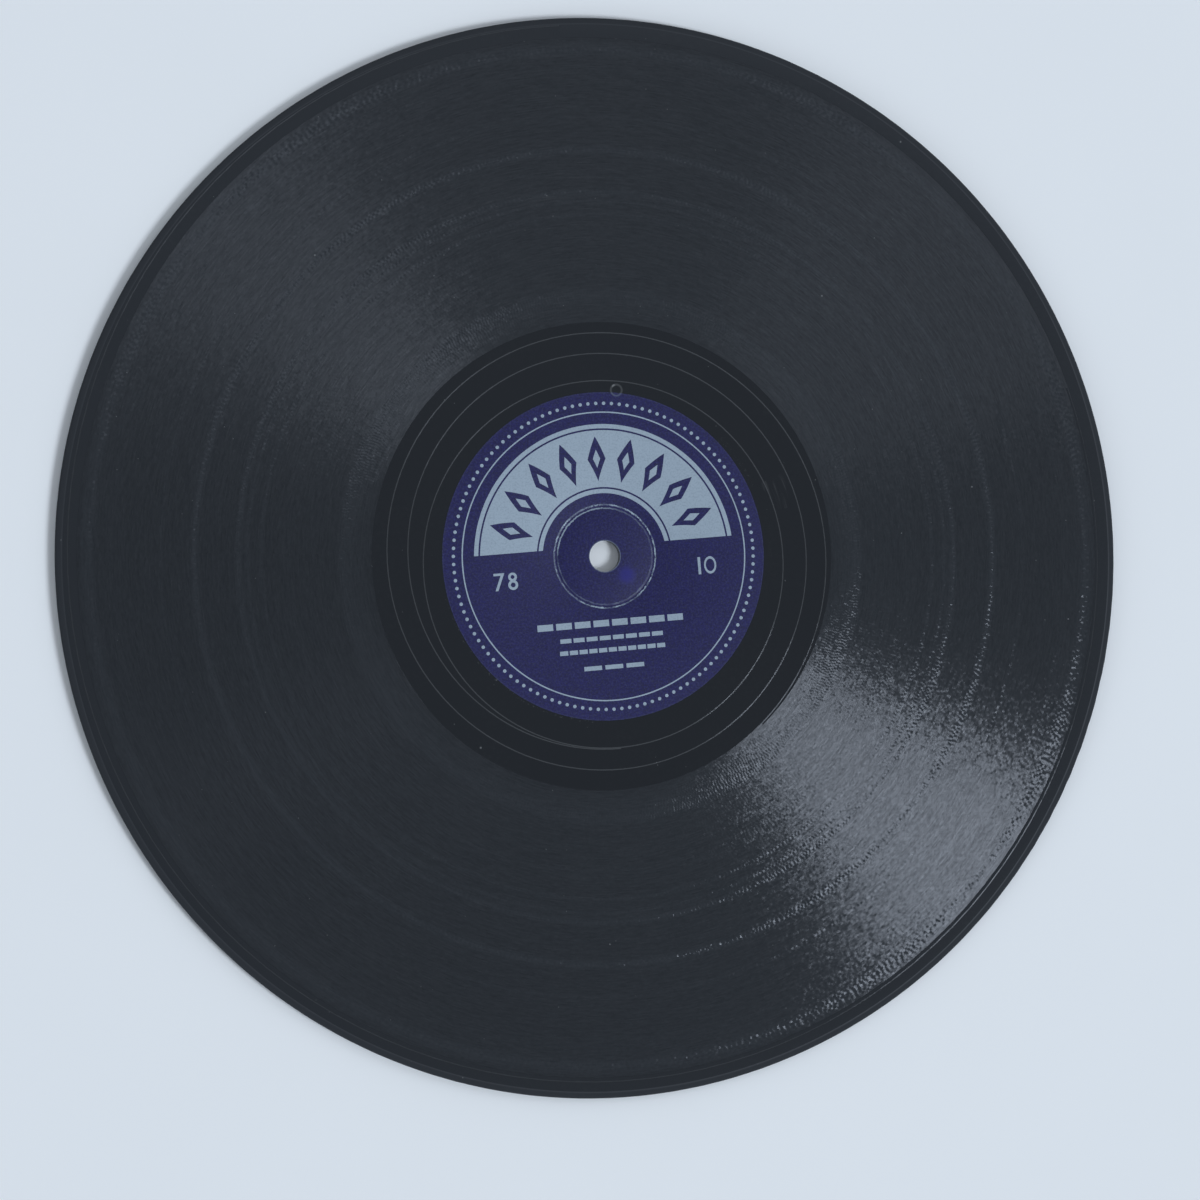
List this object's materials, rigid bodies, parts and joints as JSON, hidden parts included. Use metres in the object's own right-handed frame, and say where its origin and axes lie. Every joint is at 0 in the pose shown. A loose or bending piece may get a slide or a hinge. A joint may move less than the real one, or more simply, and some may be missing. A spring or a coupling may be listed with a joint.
{
  "type": "shellac record",
  "caption": "Ten-inch shellac gramophone record: a rigid black pressed disc with a spiral groove on each face and a paper label pressed into each face, played on a turntable spindle.",
  "frame": {"origin": "on the spindle axis, at the rear face that the record lies on", "axes": "Z along the spindle axis with the front face up; Y towards the top of the front label as pictured, X to its right"},
  "size_m": [0.25, 0.25, 0.0022],
  "materials": {
    "shellac": "pressed shellac compound, semi-gloss, grooved",
    "label_paper": "uncoated printed paper, pressed flush"
  },
  "bodies": {
    "root": {"shellac_disc": "shellac", "front_label": "label_paper", "rear_label": "label_paper"}
  },
  "joints": []
}
